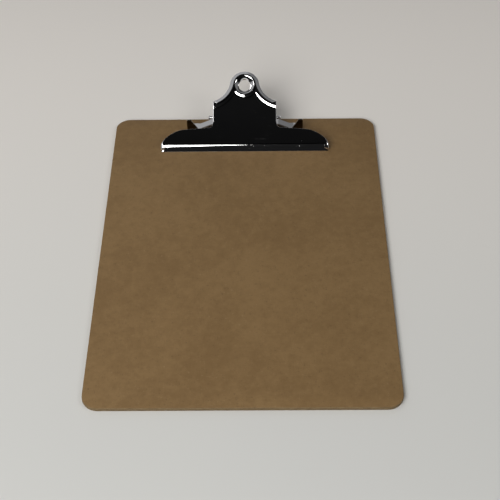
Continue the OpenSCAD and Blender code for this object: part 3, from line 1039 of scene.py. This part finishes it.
class PlatePlan:
    """The base plate's sheet: its underside is drawn first, then it is given its thickness."""

    KNEE = 0.0013           # half the width over which the sheet bends at the wings' ends
    STOP_FOOT = 0.0407      # from the middle to the inner foot of the paper stops
    STOP_BLEND = 0.0019     # width over which the level rim turns up into the stops
    STOP_LEAD = 0.0016      # that width starts so far inside the stops' foot
    BACK_FADE = 0.004       # width over which the back edge steps out from wing to foot
    STOP_ROWS, EAR_COLUMNS, BEND_STEPS, EAR_STEPS, BACK_ROWS = 14, 12, 6, 10, 3

    def __init__(self, sizes):
        self.s = s = sizes
        self.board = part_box("board")[1].z
        self.window = (s.ear_across - s.window, s.ear_across + s.bend)
        self.stop_from = self.STOP_FOOT - self.STOP_LEAD
        top = self.board + s.sheet
        self.fall = (s.bridge - top) / (s.foot - s.bridge_half)
        bends = [knee + self.KNEE * x for knee in (s.bridge_half, s.foot)
                 for x in (-1, -0.75, -0.5, -0.25, 0, 0.25, 0.5, 0.75, 1)]
        marks = (spaced(0, self.window[0], 4) + spaced(*self.window, 5)
                 + [s.flare, self.window[1]] + spaced(0.031, self.stop_from, 5)
                 + spaced(self.stop_from, 0.041, 6) + spaced(0.0441, s.stop_across, 3)
                 + spaced(s.stop_across, s.stop_across + s.stop_round, 6)
                 + spaced(s.stop_across + s.stop_round, s.half - s.stop_round, 3)
                 + spaced(s.half - s.stop_round, s.half, 6) + bends)
        self.across = []
        for mark in sorted(marks):
            if not self.across or mark - self.across[-1] > 5e-5:
                self.across.append(mark)
        self.up = spaced(PIN.y - s.ear, PIN.y + s.ear, self.EAR_COLUMNS)

    def underside(self, x):
        """Height of the sheet's underside: level bridge, sloping wing, level foot."""
        s, w = self.s, self.KNEE
        height = s.bridge - s.sheet
        for knee, change in ((s.bridge_half, -self.fall), (s.foot, self.fall)):
            past = x - knee
            bent = (past + w) ** 2 / (4 * w) if abs(past) < w else max(past, 0)
            height += change * bent
        return height

    def front(self, x):
        """Place of the sheet's front edge, where the paper stops stand."""
        s = self.s
        share = min(max((x - s.flare) / (s.bridge_half - s.flare), 0), 1)
        return s.bridge_front + (s.stop - s.bridge_front) * share

    def back(self, x):
        """Place of the sheet's back edge: bridge, wing, then the wider foot."""
        s = self.s
        if x <= s.bridge_half:
            share = max((x - s.flare) / (s.bridge_half - s.flare), 0)
            return s.bridge_back + (s.wing_back - s.bridge_back) * share
        share = ease((x - s.foot + self.BACK_FADE) / self.BACK_FADE)
        return s.wing_back + (s.foot_back - s.wing_back) * share

    def stop_height(self, x):
        """Top of the paper stop: a slope with rounded corners."""
        s = self.s
        corner = s.stop_across + s.stop_round
        level = s.stop_top - s.stop_round
        if x < s.stop_across:
            start = self.underside(self.STOP_FOOT) + s.sheet
            share = (x - self.STOP_FOOT) / (s.stop_across - self.STOP_FOOT)
            return start + (level - start) * share
        away = max(corner - x, x - (s.half - s.stop_round), 0)
        return level + math.sqrt(max(s.stop_round ** 2 - away ** 2, 0))

    def stop_point(self, x, share):
        """A point on the front rim: level, or bent up into a paper stop."""
        s = self.s
        low = self.underside(x)
        lead = s.bend * (0.34 + 0.66 * ease((x - self.window[1]) / 0.005))
        start = self.front(x) + lead
        raised = ease((x - self.stop_from) / self.STOP_BLEND)
        arc = s.bend * math.pi / 2
        full = arc + max(self.stop_height(x) - low - s.bend, 0)
        reach = share * (lead + (full - lead) * raised)
        if raised == 0:
            return Vector((x, start - reach, low))
        turn = raised * math.pi / 2
        radius = arc / turn
        bent = min(reach / radius, turn)
        rest = reach - bent * radius
        y = start - radius * math.sin(bent) - rest * math.cos(bent)
        return Vector((x, y, low + radius * (1 - math.cos(bent)) + rest * math.sin(bent)))

    def sheet_point(self, column, row):
        """Rows run from the top of the paper stops back to the sheet's back edge."""
        x = self.across[column]
        low = self.underside(x)
        if row < self.STOP_ROWS:
            return self.stop_point(x, 1 - row / self.STOP_ROWS)
        row -= self.STOP_ROWS
        start = self.stop_point(x, 0).y
        end = self.up[-1]
        first = max(self.up[0], start + 0.0005)
        if row < 2:
            return Vector((x, start + (first - start) * row / 2, low))
        row -= 2
        if row < len(self.up):
            return Vector((x, first + (end - first) * row / (len(self.up) - 1), low))
        row -= len(self.up) - 1
        return Vector((x, end + (self.back(x) - end) * row / self.BACK_ROWS, low))

    @property
    def rows(self):
        return self.STOP_ROWS + 2 + len(self.up) + self.BACK_ROWS

    def ear_point(self, column, row):
        """The ear's sheet, from the window's edge round its bend and up to its round top."""
        s = self.s
        y = self.up[column]
        low = self.underside(self.window[1])
        if row <= self.BEND_STEPS:
            a = math.pi / 2 * row / self.BEND_STEPS
            return Vector((self.window[1] - s.bend * math.sin(a), y,
                           low + s.bend * (1 - math.cos(a))))
        top = PIN.z + math.sqrt(max(s.ear ** 2 - (y - PIN.y) ** 2, 0))
        start = low + s.bend
        share = (row - self.BEND_STEPS) / self.EAR_STEPS
        return Vector((s.ear_across, y, start + (top - start) * share))


class OBJECT_OT_clipboard_base(bpy.types.Operator):
    """Build the stamped base plate with its bridge, ears and paper stops"""

    bl_idname = "clipboard.base"
    bl_label = "Base plate"

    def execute(self, context):
        s = context.scene.clipboard_base
        hinge = context.scene.clipboard_hinge
        plan = PlatePlan(s)
        bm = bmesh.new()
        loft(bm, len(plan.across), plan.rows, plan.sheet_point)
        opening = [f for f in bm.faces if self.in_window(plan, f.calc_center_median())]
        bmesh.ops.delete(bm, geom=opening, context="FACES")
        loft(bm, len(plan.up), plan.BEND_STEPS + plan.EAR_STEPS + 1, plan.ear_point)
        mirror_across(bm)
        bmesh.ops.recalc_face_normals(bm, faces=bm.faces[:])
        foot = max(bm.faces, key=lambda f: f.calc_center_median().y)
        if foot.normal.z > 0:
            bmesh.ops.reverse_faces(bm, faces=bm.faces[:])
        bmesh.ops.solidify(bm, geom=bm.faces[:], thickness=s.sheet)
        close(bm)
        rims = [e for e in bm.edges if len(e.link_faces) == 2
                and e.calc_face_angle(0.0) > math.radians(62)]
        bmesh.ops.bevel(bm, geom=rims, offset=0.00018, segments=2, profile=0.5, affect="EDGES",
                        material=-1, clamp_overlap=True)
        close(bm)
        foot_middle = plan.board + s.sheet / 2
        for side in (-1, 1):
            drill(bm, (side * s.rivet_across, s.rivet_up, foot_middle), (0, 0, 1),
                  s.rivet + s.rivet_fit, room=0.0024)
            drill(bm, (side * (s.ear_across + s.sheet / 2), PIN.y, PIN.z), (1, 0, 0),
                  hinge.pin + hinge.fit, room=0.0022)
        close(bm)
        # The base plate's chrome carries painted shade on the fronts of its paper stops
        hand_over(bm, "base_plate_shell", [chrome_plate("base_chrome", stops=True)], BOARD_BODY,
                  "chrome_plate", "base_plate")
        return {"FINISHED"}

    @staticmethod
    def in_window(plan, middle):
        return (plan.window[0] < middle.x < plan.window[1]
                and plan.up[0] < middle.y < plan.up[-1])


class OBJECT_OT_clipboard_pin(bpy.types.Operator):
    """Build the hinge pin with its spread ends"""

    bl_idname = "clipboard.pin"
    bl_label = "Hinge pin"

    def execute(self, context):
        s = context.scene.clipboard_hinge
        half, head, r = s.pin_half, s.pin_head, s.pin
        neck = half - s.pin_head_length
        profile = [(half, 0), (half, head * 0.62), (half - 0.00012, head * 0.86),
                   (half - 0.0004, head), (neck + 0.0003, head), (neck + 0.0001, head * 0.94),
                   (neck, r + 0.0001), (neck - 0.0001, r), (0, r)]
        bm = bmesh.new()
        turned(bm, profile)
        mirror_across(bm)
        bmesh.ops.translate(bm, vec=(0, PIN.y, PIN.z), verts=bm.verts)
        close(bm)
        hand_over(bm, "hinge_pin_rod", [plated_rod()], BOARD_BODY, "pin_steel", "hinge_pin")
        return {"FINISHED"}


TURNS, TURN_STEPS = 7, 24    # whole turns of each spring, and steps round each turn


class OBJECT_OT_clipboard_springs(bpy.types.Operator):
    """Build the two torsion springs that close the lever"""

    bl_idname = "clipboard.springs"
    bl_label = "Springs"

    def execute(self, context):
        s = context.scene.clipboard_hinge
        lever = LeverPlan(context.scene.clipboard_lever)
        base = context.scene.clipboard_base
        path = self.path(s, lever, base)
        for name, side in (("left", -1), ("right", 1)):
            bm = bmesh.new()
            tube(bm, path, s.wire)
            bmesh.ops.scale(bm, vec=(side, 1, 1), verts=bm.verts)
            close(bm)
            spring = hand_over(bm, f"torsion_spring_{name}", [spring_steel()], None,
                               "spring_wire", f"spring_{name}")
            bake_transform(spring)
        return {"FINISHED"}

    @staticmethod
    def path(s, lever, base):
        """Base leg, coil wound towards the middle, and the long leg up under the handle."""
        leg = lever.slope + s.leg_rise
        sweep = TURNS * math.tau + math.pi - leg
        count = round(sweep / math.tau * TURN_STEPS)
        coil = []
        for i in range(count + 1):
            turn = sweep * i / count
            a = -math.pi / 2 - turn
            coil.append(Vector((s.coil_across - s.pitch * turn / math.tau,
                                PIN.y + s.coil * math.cos(a), PIN.z + s.coil * math.sin(a))))
        rest = base.bridge + s.wire + 0.00005
        x = s.coil_across
        base_leg = [Vector((x, PIN.y + y, z)) for y, z in (
            (0.0085, rest), (0.0055, rest + 0.00037), (0.003, rest + 0.0007),
            (0.0018, PIN.z - s.coil - 0.00022), (0.0009, PIN.z - s.coil - 0.00007))]
        room = -lever.pin.y - lever.s.sheet - s.wire - s.leg_clear
        reach = (room - s.coil * math.cos(s.leg_rise)) / math.sin(s.leg_rise)
        run = Vector((0, math.cos(leg), math.sin(leg)))
        long_leg = [coil[-1] + run * reach * share for share in (0.25, 0.5, 0.75, 1)]
        return base_leg + coil + long_leg


class OBJECT_OT_clipboard_rivets(bpy.types.Operator):
    """Build the two rivets: flat head in the back, curled end on the foot"""

    bl_idname = "clipboard.rivets"
    bl_label = "Rivets"

    def execute(self, context):
        s = context.scene.clipboard_base
        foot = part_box("board")[1].z + s.sheet
        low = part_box("rivet_left")[0].z
        head, curl = s.rivet_head, s.rivet_curl
        profile = [(low + 0.00008, 0), (low + 0.00003, head * 0.6), (low, head * 0.9),
                   (low + 0.00006, head * 0.97), (low + 0.0002, head), (low + 0.0007, head),
                   (low + 0.0008, head - 0.0001), (low + 0.0008, s.rivet), (foot, s.rivet),
                   (foot, curl - 0.0003)]
        centre = Vector((foot + 0.0005, curl - 0.0005))
        profile += [tuple(polar(centre, 0.0005, a)) for a in spaced(150, -30, 10)]
        profile += [(foot + 0.0006, curl * 0.48), (foot + 0.0003, curl * 0.36),
                    (foot - 0.0004, curl * 0.33), (foot - 0.0005, 0)]
        for name, side in (("left", -1), ("right", 1)):
            bm = bmesh.new()
            turned(bm, profile)
            bmesh.ops.rotate(bm, cent=(0, 0, 0), verts=bm.verts,
                             matrix=Matrix.Rotation(-math.pi / 2, 3, "Y"))
            bmesh.ops.translate(bm, vec=(side * s.rivet_across, s.rivet_up, 0), verts=bm.verts)
            close(bm)
            hand_over(bm, f"rivet_body_{name}", [rivet_steel()], BOARD_BODY, "rivet_steel",
                      f"rivet_{name}")
        return {"FINISHED"}


class OBJECT_OT_clipboard_stage(bpy.types.Operator):
    """Set up the pale floor, the soft light and the camera"""

    bl_idname = "clipboard.stage"
    bl_label = "Stage"

    def execute(self, context):
        s = context.scene.clipboard_stage
        self.floor()
        self.walls(context.scene, s)
        for lamp in (("key", s.key, 26, 37, (1.06, 1.0)), ("side", s.side, 75, 42, (0.7, 0.5)),
                     ("fill", s.fill, -60, 40, (0.5, 0.5))):
            self.lamp(*lamp)
        data = bpy.data.cameras.new("camera")
        data.lens = s.lens
        data.sensor_width = 36.0
        data.clip_start, data.clip_end = 0.01, 50.0
        camera = bpy.data.objects.new("camera", data)
        camera.matrix_world = (Matrix.Translation(s.camera) @ Matrix.Rotation(s.heading, 4, "Z")
                               @ Matrix.Rotation(s.pitch, 4, "X")
                               @ Matrix.Rotation(s.roll, 4, "Z"))
        context.scene.collection.objects.link(camera)
        context.scene.camera = camera
        context.scene.view_settings.view_transform = "Standard"
        return {"FINISHED"}

    def floor(self):
        bm = bmesh.new()
        bmesh.ops.create_grid(bm, x_segments=1, y_segments=1, size=4.0)
        mesh = bpy.data.meshes.new("floor")
        bm.to_mesh(mesh)
        bm.free()
        mesh.materials.append(pale_floor())
        floor = bpy.data.objects.new("floor", mesh)
        bpy.context.scene.collection.objects.link(floor)

    def walls(self, scene, s):
        """Pale walls, less bright at the right, with a dark ceiling and a dark front."""
        world = bpy.data.worlds.new("studio")
        world.use_nodes = True
        scene.world = world
        f = Finish("studio", world.node_tree)
        way = f.add("ShaderNodeTexCoord", out="Generated")
        x, y, z = f.split(way)
        ceiling = z.above(0.78, 0.9)
        front = y.below(-0.45, -0.12)
        right = x.above(0.0, 0.4)
        light = (1 - ceiling * 0.97) * (1 - front * 0.97) * (1.08 - right * 0.6) * s.walls
        seen = f.add("ShaderNodeLightPath", out="Is Camera Ray")
        shade = f.blend(seen, (1.0, 1.0, 1.0), (0.6, 0.6, 0.6))
        strength = light * (1 - seen) + seen
        background = f.add("ShaderNodeBackground", {"Color": shade, "Strength": strength})
        f.add("ShaderNodeOutputWorld", {"Surface": background}, out=None)

    def lamp(self, name, power, turn, rise, size):
        """A soft lamp in front, turned to the left of the clip and raised by those angles."""
        data = bpy.data.lights.new(name, "AREA")
        data.shape = "RECTANGLE"
        data.size, data.size_y = size
        data.energy = power
        data.color = (1.0, 0.985, 0.95)
        away, turn, rise = 1.8, math.radians(turn), math.radians(rise)
        target = Vector((0, PIN.y, PIN.z))
        place = target + away * Vector((-math.sin(turn) * math.cos(rise),
                                        -math.cos(turn) * math.cos(rise), math.sin(rise)))
        lamp = bpy.data.objects.new(name, data)
        lamp.matrix_world = (Matrix.Translation(place)
                             @ (target - place).to_track_quat("-Z", "Y").to_matrix().to_4x4())
        bpy.context.scene.collection.objects.link(lamp)


class VIEW3D_PT_clipboard(bpy.types.Panel):
    """Lists the pieces in the order they are built"""

    bl_label = "Clipboard"
    bl_space_type = "VIEW_3D"
    bl_region_type = "UI"
    bl_category = "Clipboard"

    def draw(self, context):
        for operator in STEPS:
            self.layout.operator(operator.bl_idname)


GROUPS = {
    "clipboard_board": BoardSizes,
    "clipboard_lever": LeverSizes,
    "clipboard_hinge": HingeSizes,
    "clipboard_base": BaseSizes,
    "clipboard_colours": FinishColours,
    "clipboard_stage": StageSizes,
}
STEPS = (
    OBJECT_OT_clipboard_stage,
    OBJECT_OT_clipboard_board,
    OBJECT_OT_clipboard_base,
    OBJECT_OT_clipboard_rivets,
    OBJECT_OT_clipboard_pin,
    OBJECT_OT_clipboard_springs,
    OBJECT_OT_clipboard_lever,
)


def register():
    for group in GROUPS.values():
        bpy.utils.register_class(group)
    for name, group in GROUPS.items():
        setattr(bpy.types.Scene, name, PointerProperty(type=group))
    for operator in STEPS:
        bpy.utils.register_class(operator)
    bpy.utils.register_class(VIEW3D_PT_clipboard)


def unregister():
    bpy.utils.unregister_class(VIEW3D_PT_clipboard)
    for operator in reversed(STEPS):
        bpy.utils.unregister_class(operator)
    for name, group in GROUPS.items():
        delattr(bpy.types.Scene, name)
        bpy.utils.unregister_class(group)


def main():
    register()
    bpy.ops.clipboard.stage()
    bpy.ops.clipboard.board()
    bpy.ops.clipboard.base()
    bpy.ops.clipboard.rivets()
    bpy.ops.clipboard.pin()
    bpy.ops.clipboard.springs()
    bpy.ops.clipboard.lever()


if __name__ == "__main__":
    main()
